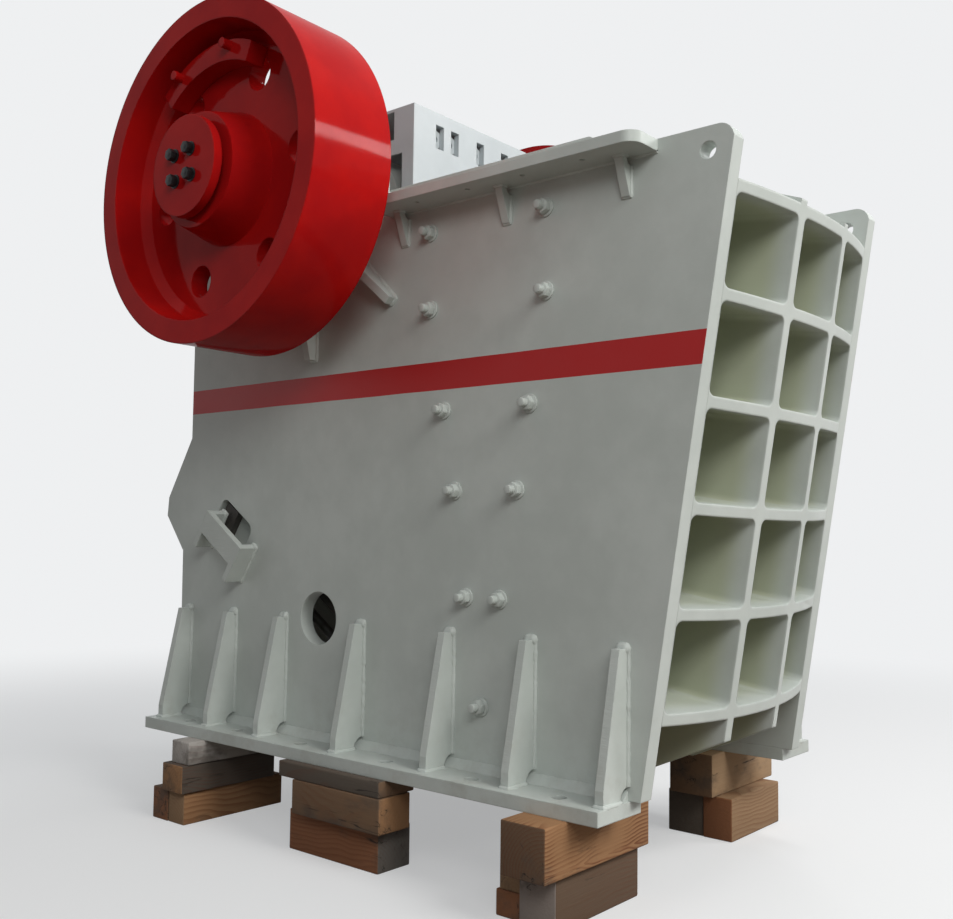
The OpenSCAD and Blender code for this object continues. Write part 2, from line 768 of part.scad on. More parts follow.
module counterweight() {
  on_shaft() {
    translate([0, 0, web_out]) linear_extrude(height = weight_t) difference() {
      circle(r = weight_out_r, $fn = 144);
      circle(r = weight_in_r, $fn = 144);
      rotate([0, 0, 131]) translate([-900, 0]) square([1800, 1800]);
      rotate([0, 0, 65]) translate([-900, -1800]) square([1800, 1800]);
    }
    for (a = [80, 117]) rotate([0, 0, a])
      translate([weight_out_r - 28, 0, web_out + weight_t - 5]) cylinder(r = 22, h = 50, $fn = 32);
  }
}
module near_counterweight() { color(red) placed() counterweight(); }
module far_counterweight() { color(red) placed() far() counterweight(); }

module shaft_cap() {
  on_shaft() translate([0, 0, cap_in]) cylinder(r = cap_r, h = cap_t, $fn = 96);
}
module near_shaft_cap() { color(red) placed() shaft_cap(); }
module far_shaft_cap() { color(red) placed() far() shaft_cap(); }

// one timber, heights from the floor
module timber(x0, x1, y0, y1, z0, z1) {
  translate([x0, y0, z0 - stand_h]) cube([x1 - x0, y1 - y0, z1 - z0]);
}
module rear_timbers() {
  h2 = rear_low_h + rear_mid_h;
  color(wood) placed() both() {
    timber(-1035, -895, -1010, -430, h2 + seam, stand_h);
    timber(-1069, -904, -1038, -470, rear_low_h + seam, h2);
    timber(-1052, -925, -1008, -400, 0, rear_low_h);
    timber(-1180, -1053, -1012, -440, 0, rear_low_h);
  }
}
module middle_timbers() {
  h2 = mid_low_h + mid_mid_h;
  color(wood) placed() both() {
    timber(-288, 352, -955, -740, h2 + seam, stand_h);
    timber(-192, 358, -957, -770, mid_low_h + seam, h2);
    timber(-268, 300, -900, -705, 0, mid_low_h);
  }
}
module front_timbers() {
  color(wood) placed() {
    timber(1075, 1278, -1050, -346, front_low_h + seam, stand_h);
    timber(1082, 1250, -942, -382, 0, front_low_h);
    timber(975, 1081, -925, -400, front_low_h / 2 + seam, front_low_h);
    timber(960, 1081, -928, -400, 0, front_low_h / 2);
    timber(886, 1114, 500, 1150, front_low_h + seam, stand_h);
    timber(1040, 1191, 547, 1060, 0, front_low_h);
    timber(850, 1039, 553, 1060, 0, front_low_h);
  }
}

near_side_plate();
far_side_plate();
front_wall();
rear_beam();
near_foot_flange();
far_foot_flange();
near_foot_gussets();
far_foot_gussets();
near_top_ledge();
far_top_ledge();
near_ledge_gussets();
far_ledge_gussets();
rear_wall();
near_bearing_housing();
far_bearing_housing();
near_bearing_ribs();
far_bearing_ribs();
fixed_jaw_plate();
near_cheek_plates();
far_cheek_plates();
swing_jaw_plate();
jaw_clamp_bar();
pitman();
pitman_guard();
guard_bosses();
toggle_plate();
toggle_seat();
adjusting_wedges();
near_wedge_bracket();
far_wedge_bracket();
tension_rods();
tension_springs();
eccentric_shaft();
flywheel();
drive_pulley();
near_counterweight();
far_counterweight();
near_shaft_cap();
far_shaft_cap();
rear_timbers();
middle_timbers();
front_timbers();
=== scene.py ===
# %% [markdown]
# A jaw crusher stands on timber blocks on a pale studio floor. All of it could be modelled in
# Blender, but its sizes are already settled in the packed model. So that is loaded first as a
# fixed frame: its nodes keep their shape and get a finish, the timbers and springs get finer
# copies in the same place, and studs, bolts and weld beads are placed from the nodes' boxes.

# %% Load the frame
import math
import random

import bmesh
import bpy
from mathutils import Matrix, Vector


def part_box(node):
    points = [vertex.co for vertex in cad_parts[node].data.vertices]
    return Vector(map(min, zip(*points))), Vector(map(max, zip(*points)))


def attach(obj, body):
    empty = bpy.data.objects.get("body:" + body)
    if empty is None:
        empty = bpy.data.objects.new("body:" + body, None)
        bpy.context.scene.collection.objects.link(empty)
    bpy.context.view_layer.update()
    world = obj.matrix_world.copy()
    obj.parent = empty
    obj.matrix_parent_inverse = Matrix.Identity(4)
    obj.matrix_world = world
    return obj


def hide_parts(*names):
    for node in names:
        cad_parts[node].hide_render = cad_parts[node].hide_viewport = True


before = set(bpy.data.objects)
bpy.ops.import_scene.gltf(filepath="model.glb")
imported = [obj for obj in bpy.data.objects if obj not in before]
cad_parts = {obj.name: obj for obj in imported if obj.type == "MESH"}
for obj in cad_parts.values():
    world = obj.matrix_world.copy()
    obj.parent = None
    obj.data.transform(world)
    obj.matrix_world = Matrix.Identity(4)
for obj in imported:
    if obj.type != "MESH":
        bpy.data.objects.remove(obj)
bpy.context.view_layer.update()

# %% [markdown]
# The camera stands low at the front corner on the flywheel's side and looks a little up, so
# the wheel towers over the frame. A camera can be moved by eye until the view looks right, but
# then its lens stays a guess. Here the place and the lens were worked out from the straight
# edges of the side plate, and are given as real distances from the middle of the machine.

# %% Camera
CAMERA_PLACE = Vector((3.4155, -4.167, 1.451))
CAMERA_TURN = math.radians(40.118)
CAMERA_RISE = math.radians(-3.746)
CAMERA_ROLL = math.radians(0.701)
LENS = 40.53
SENSOR = 36.0
FAR_CLIP = 200


def camera_axes(turn, rise, roll):
    """Right, up and back of a camera that looks at the machine from this side."""
    back = Vector((math.sin(turn) * math.cos(rise), -math.cos(turn) * math.cos(rise), math.sin(rise)))
    right = Vector((math.cos(turn), math.sin(turn), 0))
    up = back.cross(right)
    return (math.cos(roll) * right + math.sin(roll) * up,
            math.cos(roll) * up - math.sin(roll) * right, back)


camera = bpy.data.objects.new("camera", bpy.data.cameras.new("camera"))
bpy.context.scene.collection.objects.link(camera)
camera.matrix_world = (Matrix.Translation(CAMERA_PLACE)
                       @ Matrix(camera_axes(CAMERA_TURN, CAMERA_RISE, CAMERA_ROLL)).transposed().to_4x4())
camera.data.sensor_fit = "HORIZONTAL"
camera.data.sensor_width = SENSOR
camera.data.lens = LENS
camera.data.clip_end = FAR_CLIP
bpy.context.scene.camera = camera
print("camera at", [round(v, 2) for v in CAMERA_PLACE], "lens", LENS, "mm")

# %% [markdown]
# Paint, steel and wood are all mixed from numbers that vary over the surface. Shader nodes can
# be added and linked one by one, but a formula then fills a page. So a wire wraps one socket
# of a node, each operator that is used on it adds a Math node, and a formula stays one line.

# %% Wire
class Wire:
    """One socket of a material that Python's operators can be used on."""

    def __init__(self, bench, socket):
        self.bench = bench
        self.socket = socket

    def __add__(self, other):
        return self.bench.maths("ADD", self, other)

    def __sub__(self, other):
        return self.bench.maths("SUBTRACT", self, other)

    def __rsub__(self, other):
        return self.bench.maths("SUBTRACT", other, self)

    def __mul__(self, other):
        return self.bench.maths("MULTIPLY", self, other)

    def __gt__(self, other):
        return self.bench.maths("GREATER_THAN", self, other)

    def __lt__(self, other):
        return self.bench.maths("LESS_THAN", self, other)

    __radd__ = __add__
    __rmul__ = __mul__

    def limit(self, low, high):
        """0 below low, 1 above high and smooth between them."""
        node = self.bench.node("ShaderNodeMapRange", {"interpolation_type": "SMOOTHSTEP"},
                               self, low, high)
        return Wire(self.bench, node.outputs[0])


print("a wire knows", [name for name in vars(Wire) if callable(getattr(Wire, name))])

# %% [markdown]
# A bench holds one material with its own shader and the place of each point on the machine.
# Each finish could make its own nodes, but all of them need the same few things. So one
# method makes any node from its type, its settings and what its sockets get, and short ones
# on top of it make a colour mix, a soft noise, a mask for faces that look one way, and the
# bump of the surface.

# %% Bench
class Bench:
    """A material on its bench: its own shader, and the nodes that feed it."""

    def __init__(self, name, **constants):
        self.material = bpy.data.materials.new(name)
        self.material.use_nodes = True
        self.tree = self.material.node_tree
        self.shader = self.tree.nodes["Principled BSDF"]
        for label, value in constants.items():
            self.shader.inputs[label.replace("_", " ")].default_value = value
        self.place = Wire(self, self.node("ShaderNodeTexCoord").outputs["Object"])
        parts = self.node("ShaderNodeSeparateXYZ", None, self.place)
        self.x, self.y, self.z = (Wire(self, s) for s in parts.outputs)

    def node(self, kind, settings=None, *values):
        """A node with its settings first, then values or wires for its sockets in order."""
        made = self.tree.nodes.new(kind)
        for label, value in (settings or {}).items():
            setattr(made, label, value)
        for socket, value in zip(made.inputs, values):
            self.feed(socket, value)
        return made

    def feed(self, socket, value):
        if isinstance(value, Wire):
            self.tree.links.new(value.socket, socket)
        elif value is not None:
            socket.default_value = value

    def maths(self, operation, *values):
        return Wire(self, self.node("ShaderNodeMath", {"operation": operation}, *values).outputs[0])

    def mix(self, mask, under, over):
        """Colour under, covered by colour over as far as the mask says."""
        made = self.node("ShaderNodeMix", {"data_type": "RGBA"})
        self.feed(made.inputs[0], mask)
        self.feed(made.inputs[6], under if isinstance(under, Wire) else (*under, 1))
        self.feed(made.inputs[7], over if isinstance(over, Wire) else (*over, 1))
        return Wire(self, made.outputs[2])

    def noise(self, scale, detail=3.0, roughness=0.5, place=None, stretch=None):
        """Soft noise from 0 to 1, of this many spots a metre, stretched along an axis or not."""
        at = place or self.place
        if stretch:
            at = Wire(self, self.node("ShaderNodeMapping", None, at, None, None, stretch).outputs[0])
        made = self.node("ShaderNodeTexNoise", None, at, None, scale, detail, roughness)
        return Wire(self, made.outputs[0])

    def facing(self, axis):
        """1 on faces that look along an axis, 1 across the machine or 2 up, and 0 on others."""
        faces = self.node("ShaderNodeTexCoord").outputs["Normal"]
        parts = self.node("ShaderNodeSeparateXYZ", None, Wire(self, faces))
        towards = Wire(self, parts.outputs[axis])
        return (towards if axis == 2 else self.maths("ABSOLUTE", towards)).limit(0.6, 0.8)

    def set(self, **feeds):
        for label, value in feeds.items():
            self.feed(self.shader.inputs[label.replace("_", " ")], value)

    def surface(self, height, strength, depth, edge=0.0):
        """Bump from a height, on edges that are rounded to a radius where one is given."""
        made = self.node("ShaderNodeBump")
        made.inputs["Strength"].default_value = strength
        made.inputs["Distance"].default_value = depth
        self.feed(made.inputs["Height"], height)
        if edge:
            rounded = self.node("ShaderNodeBevel", {"samples": 6})
            rounded.inputs["Radius"].default_value = edge
            self.tree.links.new(rounded.outputs[0], made.inputs["Normal"])
        self.tree.links.new(made.outputs[0], self.shader.inputs["Normal"])


print("a bench makes", [name for name in vars(Bench) if not name.startswith("_")])

# %% [markdown]
# The frame is sprayed in a pale grey-green cream over flame-cut and cast steel. One flat
# colour would look like plastic, and a picture of paint would stretch over such large plates,
# so noise of a few real sizes does it. Spray leaves faint clouds and a fine orange peel, and
# dust settles low down. The cells of the front wall carry painted shade: a darker olive
# colour that stands for the shade and the olive bounced light in them. It grows towards their
# back and is weaker on their upward faces. The side plates also have a red stripe, placed by
# its height over the floor.

# %% Cream paint
CREAM = (0.50, 0.54, 0.51)
CREAM_PALE = (0.57, 0.61, 0.58)
# painted shade: the darker olive colour that stands for the shade inside the front wall's cells
CELL_SHADE_OLIVE = (0.445, 0.475, 0.350)
GUARD_WHITE = (0.47, 0.51, 0.525)
GUARD_PALE = (0.53, 0.57, 0.585)
DUST = (0.33, 0.31, 0.26)
STRIPE_RED = (0.43, 0.010, 0.010)
# the stripe is on the outer face of the side plates, between two heights
PLATE_FACE = 0.6995
STRIPE_LOW = 2.060
STRIPE_HIGH = 2.187
# the front wall leans out from its foot, bows out in the middle, and ends in a top rib
EDGE_FOOT = 1.2925
WALL_LEAN = math.radians(9)
FLOOR_TO_FEET = 0.400
WALL_BOW = 0.085
WALL_HALF = 0.625
TOP_RIB = 2.350


def cream_paint(name, body=CREAM, pale=CREAM_PALE, edge=0.006, stripe=False, cells=False, cut=False):
    bench = Bench(name, Roughness=0.42, Specular_IOR_Level=0.3, Coat_Roughness=0.3)
    clouds = bench.noise(1.3, 4, 0.55)
    spots = bench.noise(9, 3, 0.6)
    colour = bench.mix((clouds * 0.7 + spots * 0.3).limit(0.36, 0.66), body, pale)
    # painted shade in the cells: darker and olive towards their back, weaker on faces that look up
    if cells:
        ahead = bench.x - (bench.z - FLOOR_TO_FEET) * math.tan(WALL_LEAN) - EDGE_FOOT
        bow = (1 - bench.y * bench.y * (1 / WALL_HALF ** 2)) * WALL_BOW
        cell_shade = (bow - ahead).limit(0.015, 0.13)
        up_the_wall = (bench.z - FLOOR_TO_FEET) * (1 / math.cos(WALL_LEAN)) + ahead * math.sin(WALL_LEAN)
        cell_shade = cell_shade * (up_the_wall < TOP_RIB) * (0.95 - bench.facing(2) * 0.45)
        colour = bench.mix(cell_shade, colour, CELL_SHADE_OLIVE)
    dirt = (1 - bench.z.limit(0.40, 0.85)) * bench.noise(5, 5, 0.7).limit(0.45, 0.75)
    colour = bench.mix(dirt * 0.35, colour, DUST)
    if stripe:
        outside = bench.maths("ABSOLUTE", bench.y) > PLATE_FACE
        wave = (bench.noise(3, 2) - 0.5) * 0.004
        band = ((bench.z + wave) > STRIPE_LOW) * ((bench.z + wave) < STRIPE_HIGH)
        colour = bench.mix(outside * band, colour, STRIPE_RED)
    bench.set(Base_Color=colour, Roughness=0.36 + spots * 0.14, Coat_Weight=clouds * 0.25)
    peel = bench.noise(140, 2, 0.5) * 0.25 + bench.noise(6, 3, 0.5)
    if cut:
        drag = bench.noise(70, 3, 0.7, stretch=(0.15, 1, 1)) * bench.facing(1)
        peel = peel + drag * 1.6
    bench.surface(peel, 0.25, 0.004, edge=edge)
    return bench.material


cream = cream_paint("cream spray paint")
cream_cut = cream_paint("cream paint on flame-cut edges", cut=True)
cream_striped = cream_paint("cream spray paint with a red stripe", stripe=True)
cream_cast = cream_paint("cream paint on the cast cells", edge=0.012, cells=True)
guard_white = cream_paint("white paint on the guard", body=GUARD_WHITE, pale=GUARD_PALE)
print("cream finishes", [m.name for m in (cream, cream_cut, cream_striped, cream_cast, guard_white)])

# %% [markdown]
# The wheels carry a thick glossy red over turned cast iron. A glossy base colour could do it
# alone, but then the whole pale studio would mirror in it and wash the red out. So the base
# has no mirror of its own, and a thin clear coat with a slight waviness carries the gloss, as
# lacquer does. The colour is a little darker where the coat is thin.

# %% Red gloss
RED = (0.47, 0.008, 0.007)
RED_THIN = (0.39, 0.007, 0.008)


def red_gloss():
    bench = Bench("red gloss paint", Roughness=0.35, Specular_IOR_Level=0.0, Coat_Roughness=0.085,
                  Coat_IOR=1.27)
    clouds = bench.noise(3.5, 4, 0.6)
    colour = bench.mix(clouds.limit(0.35, 0.7), RED_THIN, RED)
    bench.set(Base_Color=colour, Roughness=0.30 + clouds * 0.14, Coat_Weight=0.27 + clouds * 0.15)
    turned = bench.noise(7, 3, 0.5) * 0.5 + bench.noise(120, 2, 0.5) * 0.10
    bench.surface(turned, 0.12, 0.005, edge=0.012)
    return bench.material


red = red_gloss()
print("red finish", red.name)

# %% [markdown]
# The jaw plates are rough manganese steel castings, the shaft and the rods are machined
# steel with a film of oil, and the bolts in the wheel's cap are black from their heat
# treatment. One steel with other numbers could serve for all, but a casting, a turned face
# and a blackened one differ in kind. So each finish is one function, in spots a metre.

# %% Bare metals
def cast_manganese():
    bench = Bench("rough cast manganese steel", Metallic=0.55)
    grain = bench.noise(55, 5, 0.65)
    scale = bench.noise(4, 4, 0.6)
    colour = bench.mix(scale.limit(0.35, 0.65), (0.085, 0.080, 0.075), (0.16, 0.145, 0.125))
    bench.set(Base_Color=colour, Roughness=0.55 + grain * 0.3)
    bench.surface(grain + scale * 0.6, 0.5, 0.006, edge=0.005)
    return bench.material


def machined_steel():
    bench = Bench("machined steel with an oil film", Metallic=0.9)
    rings = bench.noise(60, 3, 0.5, stretch=(1, 6, 1))
    film = bench.noise(7, 4, 0.6)
    colour = bench.mix(film.limit(0.4, 0.7), (0.42, 0.42, 0.41), (0.27, 0.25, 0.22))
    bench.set(Base_Color=colour, Roughness=0.24 + film * 0.22)
    bench.surface(rings, 0.12, 0.001, edge=0.002)
    return bench.material


def black_oxide():
    bench = Bench("black oxide bolt steel", Metallic=0.6)
    wear = bench.noise(120, 3, 0.6)
    colour = bench.mix(wear.limit(0.45, 0.75), (0.010, 0.010, 0.011), (0.030, 0.029, 0.028))
    bench.set(Base_Color=colour, Roughness=0.38 + wear * 0.25)
    bench.surface(wear, 0.3, 0.0006)
    return bench.material


manganese = cast_manganese()
oiled_steel = machined_steel()
black_steel = black_oxide()
print("bare finishes", manganese.name, "and", oiled_steel.name, "and", black_steel.name)

# %% [markdown]
# A real crusher is painted as a whole, but its surfaces differ. One paint could tell them
# apart by masks, and would then be slow and hard to read. So each node gets one of a few
# finishes by assignment. Most cream pieces share one paint. Flame-cut ribs and gussets have
# drag lines on their edges and a paint of their own, as do the striped side plates, the
# castings and the guard.

# %% Finish on each node
CREAM_NODES = [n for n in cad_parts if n.endswith((
    "foot_flange", "top_ledge", "bearing_housing", "cheek_plates"))
    or n in ("rear_beam", "rear_wall", "pitman", "toggle_seat")]
CUT_NODES = [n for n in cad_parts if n.endswith((
    "foot_gussets", "ledge_gussets", "bearing_ribs", "wedge_bracket"))]
FINISHES = {
    cream: CREAM_NODES,
    cream_cut: CUT_NODES,
    guard_white: ["pitman_guard", "guard_bosses"],
    cream_striped: ["near_side_plate", "far_side_plate"],
    cream_cast: ["front_wall"],
    red: ["flywheel", "drive_pulley", "near_counterweight", "far_counterweight",
          "near_shaft_cap", "far_shaft_cap"],
    manganese: ["fixed_jaw_plate", "swing_jaw_plate", "jaw_clamp_bar", "toggle_plate",
                "adjusting_wedges"],
    oiled_steel: ["eccentric_shaft", "tension_rods", "tension_springs"],
}
for finish, names in FINISHES.items():
    for name in names:
        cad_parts[name].data.materials.clear()
        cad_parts[name].data.materials.append(finish)
print("finished nodes", sum(len(names) for names in FINISHES.values()))

# %% [markdown]
# Welds run along solids that share their node with others, such as one gusset of seven. Their
# places could be typed in again, but would no longer follow when the model changes. A merged
# copy of the node's mesh falls apart into its solids, so their boxes are measured instead.

# %% Solids of a node
SAME_POINT = 0.0001
SAME_PLANE = 0.01


def merged_copy(name):
    """The node's mesh with its loose triangles joined."""
    work = bmesh.new()
    work.from_mesh(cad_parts[name].data)
    bmesh.ops.remove_doubles(work, verts=work.verts, dist=SAME_POINT)
    return work


def flat_faced_copy(name):
    """The merged copy without the edges that lie inside a flat face."""
    work = merged_copy(name)
    bmesh.ops.dissolve_limit(work, angle_limit=SAME_PLANE, verts=work.verts, edges=work.edges)
    return work


def islands(work):
    """Lists of the faces that hang together, always in the mesh's own order."""
    work.faces.index_update()
    seen = set()
    for start in work.faces:
        if start.index in seen:
            continue
        seen.add(start.index)
        group, edge = [start], [start]
        while edge:
            for side in edge.pop().edges:
                for face in side.link_faces:
                    if face.index not in seen:
                        seen.add(face.index)
                        group.append(face)
                        edge.append(face)
        yield group


def solid_boxes(name):
    """Lowest and highest corner of each solid in a node, in order along the machine."""
    work = merged_copy(name)
    boxes = []
    for group in islands(work):
        points = [v.co for face in group for v in face.verts]
        boxes.append((Vector([min(p[i] for p in points) for i in range(3)]),
                      Vector([max(p[i] for p in points) for i in range(3)])))
    work.free()
    return sorted(boxes, key=lambda b: tuple(b[0]))


for name in ("near_foot_gussets", "near_ledge_gussets", "front_timbers"):
    print(name, "has", len(solid_boxes(name)), "solids")

# %% [markdown]
# The stand is sawn construction timber. A wood pattern on plain coordinates would run through
# all baulks alike, so each baulk stores its own tone and its own place in an imagined log,
# with the pith somewhere outside the sawn piece: rings then cross the ends and run long along
# the sides. How far the rings stand out differs from baulk to baulk, and is kept in the
# tone's fourth value. The arrises are rounded by a bevel on a merged copy.

# %% Timber meshes
TONES = {"fresh": (0.36, 0.20, 0.10), "tan": (0.33, 0.215, 0.125), "brown": (0.19, 0.120, 0.072),
         "red": (0.27, 0.120, 0.060), "grey": (0.155, 0.150, 0.135), "white": (0.50, 0.48, 0.45),
         "dark": (0.100, 0.088, 0.072), "drab": (0.115, 0.080, 0.054), "ash": (0.300, 0.265, 0.240),
         "dun": (0.140, 0.090, 0.056), "pale": (0.44, 0.30, 0.18)}
ARRIS = 0.007
SHARP_EDGE = math.radians(35)
END_GRAIN = 0.4


def timber_order(group):
    """The near side first, then from the top down, then from the front back."""
    points = [v.co for face in group for v in face.verts]
    return (max(p.y for p in points) > 0, -round(max(p.z for p in points), 2),
            -round(max(p.x for p in points), 2))


def timber_mesh(name, tones):
    """A copy of a stack with rounded arrises, and each baulk's tones and place in its log."""
    work = flat_faced_copy(name)
    bmesh.ops.bevel(work, geom=list(work.edges), offset=ARRIS, segments=2, profile=0.6,
                    affect="EDGES", clamp_overlap=True)
    tone = work.loops.layers.float_color.new("tone")
    log = work.verts.layers.float_vector.new("log")
    draw = random.Random(name)
    groups = sorted(islands(work), key=timber_order)
    for number, group in enumerate(groups):
        points = {v for face in group for v in face.verts}
        low = Vector([min(v.co[i] for v in points) for i in range(3)])
        high = Vector([max(v.co[i] for v in points) for i in range(3)])
        size = high - low
        along = 0 if size.x > size.y else 1
        across = 1 - along
        pith = Vector((0, low[across] + size[across] * draw.uniform(-0.4, 1.4),
                       low.z + size.z * draw.uniform(-0.6, 0.2)))
        shift = draw.uniform(0, 9)
        side, end, grain = tones[number % len(tones)]
        for face in group:
            sawn_end = abs(face.normal[along]) > 0.7
            paint = TONES[end if sawn_end else side]
            for corner in face.loops:
                corner[tone] = (*paint, grain * (END_GRAIN if sawn_end else 1))
        for v in points:
            v[log] = (v.co[along] + shift, v.co[across] - pith.y, v.co.z - pith.z)
    mesh = bpy.data.meshes.new(name + " sawn")
    work.to_mesh(mesh)
    work.free()
    mesh.shade_smooth()
    mesh.set_sharp_from_angle(angle=SHARP_EDGE)
    return mesh


# %% [markdown]
# A ring of pine turns dark slowly and ends sharply. A wave texture could draw the rings, but
# here their width, that sharp side and the places where they fade each need a value of their
# own. So a ring is the fractional part of the distance from the stored log's pith, bent by
# noise, and fibres, stains, splits and a few knots lie over it.

# %% Sawn wood
RINGS_A_METRE = 64
KNOTS_A_METRE = 3.4


def sawn_timber():
    bench = Bench("sawn timber", Roughness=0.75, Specular_IOR_Level=0.25)
    log = Wire(bench, bench.node("ShaderNodeAttribute", {"attribute_name": "log"}).outputs["Vector"])
    stored = bench.node("ShaderNodeAttribute", {"attribute_name": "tone"}).outputs
    tone, grain = Wire(bench, stored["Color"]), Wire(bench, stored["Alpha"])
    parts = bench.node("ShaderNodeSeparateXYZ", None, log)
    along, side, up = (Wire(bench, s) for s in parts.outputs)
    wander = bench.noise(0.9, 3, 0.55, place=log) * 0.26
    radius = bench.maths("SQRT", side * side + up * up) + wander
    ring = bench.maths("FRACT", radius * RINGS_A_METRE + bench.noise(5, 3, 0.6, place=log) * 0.9)
    late = ring.limit(0.30, 0.95) * grain * bench.noise(2.3, 3, 0.5, place=log).limit(0.36, 0.60)
    fibre = bench.noise(70, 4, 0.7, place=log, stretch=(0.05, 1, 1))
    stain = bench.noise(4, 5, 0.65, place=log, stretch=(0.5, 1, 1))
    split = bench.maths("ABSOLUTE", bench.noise(11, 3, 0.5, place=log, stretch=(0.05, 1, 1)) - 0.5)
    split = (1 - split.limit(0.002, 0.010)) * stain.limit(0.50, 0.60)
    knots = bench.node("ShaderNodeMapping", None, log, None, None, (0.45, 1, 1))
    knots = bench.node("ShaderNodeTexVoronoi", None, Wire(bench, knots.outputs[0]), None,
                       KNOTS_A_METRE)
    knot = 1 - Wire(bench, knots.outputs["Distance"]).limit(0.05, 0.12)
    dark = bench.mix(0.75, tone, (0.130, 0.034, 0.013))
    colour = bench.mix(late * 0.75 + fibre * 0.25, tone, dark)
    colour = bench.mix(knot * 0.8, colour, (0.070, 0.035, 0.020))
    colour = bench.mix(stain.limit(0.50, 0.68) * 0.75, colour, (0.080, 0.066, 0.054))
    colour = bench.mix(split * 0.85, colour, (0.018, 0.014, 0.011))
    bench.set(Base_Color=colour, Roughness=0.66 + fibre * 0.25)
    bench.surface(late * 0.3 + fibre * 0.8 + stain * 0.4 - split * 0.8, 0.5, 0.004)
    return bench.material


timber = sawn_timber()
print("wood", timber.name)

# %% [markdown]
# Three stacks carry each side of the machine, made up from old and new baulks. Their tones
# could be drawn at random, but each real baulk has a look of its own. So each is given the
# tone of its sides, the tone of its ends and how far its rings stand out, in the order that
# timber_order sorts them. The new mesh stands for the stack's node, which stays the solid that
# carries the machine.

# %% Stacks of timber
STACKS = {"rear_timbers": [("white", "white", 0.4), ("dark", "fresh", 0.5), ("fresh", "tan", 0.7),
                           ("brown", "red", 0.5)],
          "middle_timbers": [("dark", "brown", 0.3), ("brown", "fresh", 0.5), ("red", "grey", 0.6)],
          "front_timbers": [("fresh", "dun", 1.5), ("drab", "ash", 0.35), ("tan", "tan", 0.5),
                            ("red", "red", 0.5), ("pale", "brown", 0.35), ("tan", "red", 0.5),
                            ("grey", "dark", 0.2)]}


def piece(name, mesh, finish, body):
    """A finished mesh as a piece of the machine, on its body."""
    made = bpy.data.objects.new(name, mesh)
    bpy.context.scene.collection.objects.link(made)
    mesh.materials.clear()
    mesh.materials.append(finish)
    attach(made, body)
    return made


for stack, tones in STACKS.items():
    sawn = piece("sawn_" + stack, timber_mesh(stack, tones), timber, "frame")
    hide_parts(stack)
    print(sawn.name, len(sawn.data.polygons), "faces")

# %% [markdown]
# Geometry Nodes make all that repeats. A tree could be drawn by hand in the editor, but here
# it is written down: one function opens a tree with named inputs, and a chain adds its nodes
# and joins them by the names of their sockets.

# %% Trees in writing
def new_tree(name, sizes):
    tree = bpy.data.node_groups.new(name, "GeometryNodeTree")
    tree.interface.new_socket("Geometry", in_out="INPUT", socket_type="NodeSocketGeometry")
    for label, value in sizes.items():
        kind = "NodeSocketMaterial" if value is None else "NodeSocketFloat"
        made = tree.interface.new_socket(label, in_out="INPUT", socket_type=kind)
        if value is not None:
            made.default_value = value
    tree.interface.new_socket("Geometry", in_out="OUTPUT", socket_type="NodeSocketGeometry")
    return tree


class Chain:
    """Makes the nodes of a Geometry Nodes tree and joins them by their sockets' names."""

    def __init__(self, tree):
        self.tree = tree
        self.inputs = tree.nodes.new("NodeGroupInput").outputs
        self.end = tree.nodes.new("NodeGroupOutput").inputs[0]

    def add(self, kind, settings=None, **feeds):
        made = self.tree.nodes.new(kind)
        for label, value in (settings or {}).items():
            setattr(made, label, value)
        for label, value in feeds.items():
            socket = made.inputs[label.replace("_", " ")]
            for one in (value if isinstance(value, list) else [value]):
                if isinstance(one, bpy.types.NodeSocket):
                    self.tree.links.new(one, socket)
                else:
                    socket.default_value = one
        return made.outputs

    def maths(self, operation, one, two):
        made = self.tree.nodes.new("ShaderNodeMath")
        made.operation = operation
        for socket, value in zip(made.inputs, (one, two)):
            if isinstance(value, bpy.types.NodeSocket):
                self.tree.links.new(value, socket)
            else:
                socket.default_value = value
        return made.outputs[0]


# %% [markdown]
# Fasteners repeat, so one tree builds a washer, a hexagon and the end of a stud from named
# sizes, and stands a copy on every point of a mesh. Each point carries the turn that points
# its fastener out of the plate. Copies of an object would do too, but each size of bolt would
# then be modelled again.

# %% Fastener tree
def fastener_tree():
    sizes = {"Washer Radius": 0.04, "Washer Height": 0.008, "Hexagon Radius": 0.032,
             "Hexagon Height": 0.029, "Stud Radius": 0.018, "Stud Height": 0.03, "Finish": None}
    chain = Chain(new_tree("hexagon fastener", sizes))
    given = chain.inputs

    def disc(sides, radius, height, base):
        """A round or six-sided disc that stands on a height."""
        mesh = chain.add("GeometryNodeMeshCylinder", None, Vertices=sides, Radius=radius, Depth=height)
        middle = chain.maths("ADD", base, chain.maths("MULTIPLY", height, 0.5))
        lift = chain.add("ShaderNodeCombineXYZ", None, Z=middle)
        return chain.add("GeometryNodeTransform", None, Geometry=mesh[0], Translation=lift[0])[0]

    top = chain.maths("ADD", given["Washer Height"], given["Hexagon Height"])
    parts = [disc(32, given["Washer Radius"], given["Washer Height"], 0.0),
             disc(6, given["Hexagon Radius"], given["Hexagon Height"], given["Washer Height"]),
             disc(24, given["Stud Radius"], given["Stud Height"], top)]
    whole = chain.add("GeometryNodeJoinGeometry", None, Geometry=parts)
    turn = chain.add("GeometryNodeInputNamedAttribute", {"data_type": "FLOAT_VECTOR"}, Name="turn")
    spin = chain.add("FunctionNodeEulerToRotation", None, Euler=turn[0])
    stood = chain.add("GeometryNodeInstanceOnPoints", None, Points=given["Geometry"],
                      Instance=whole[0], Rotation=spin[0])
    real = chain.add("GeometryNodeRealizeInstances", None, Geometry=stood[0])
    dressed = chain.add("GeometryNodeSetMaterial", None, Geometry=real[0], Material=given["Finish"])
    chain.tree.links.new(dressed[0], chain.end)
    return chain.tree


